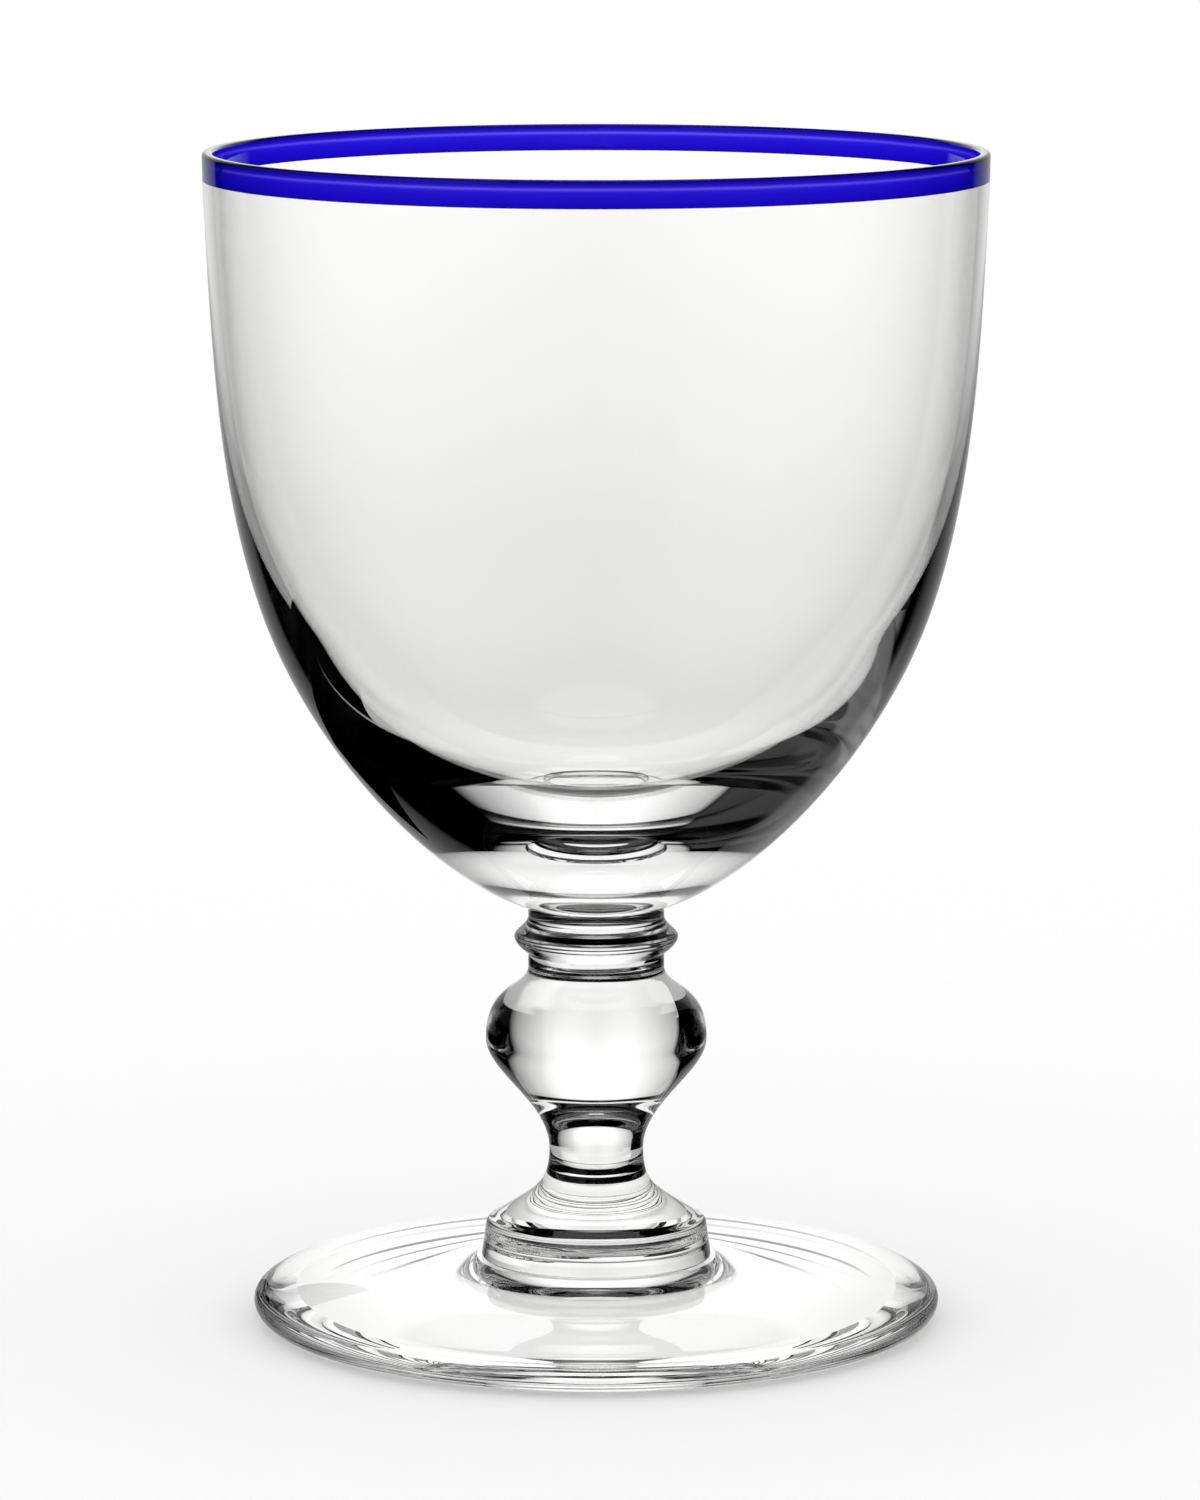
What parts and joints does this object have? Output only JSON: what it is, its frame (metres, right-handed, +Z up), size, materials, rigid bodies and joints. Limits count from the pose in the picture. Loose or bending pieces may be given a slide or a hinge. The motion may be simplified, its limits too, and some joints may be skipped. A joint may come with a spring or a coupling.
{
  "type": "water glass",
  "caption": "Stemmed clear water glass with a cobalt-blue rim band, thick-bottomed U-shaped bowl, collar, inverted-baluster knop, stepped pad and disc foot.",
  "frame": {"origin": "centre of the foot's underside, on the table plane", "axes": "+Z up along the glass's axis, from the foot to the rim; the glass is round, so X and Y are alike"},
  "size_m": [0.0926, 0.0926, 0.14],
  "materials": {
    "clear_glass": "clear, fire-polished",
    "cobalt_glass": "transparent cobalt blue, fire-polished"
  },
  "bodies": {
    "root": {"foot": "clear_glass", "foot_pad": "clear_glass", "stem": "clear_glass", "collar": "clear_glass", "bowl": "clear_glass", "rim_band": "cobalt_glass"}
  },
  "joints": []
}
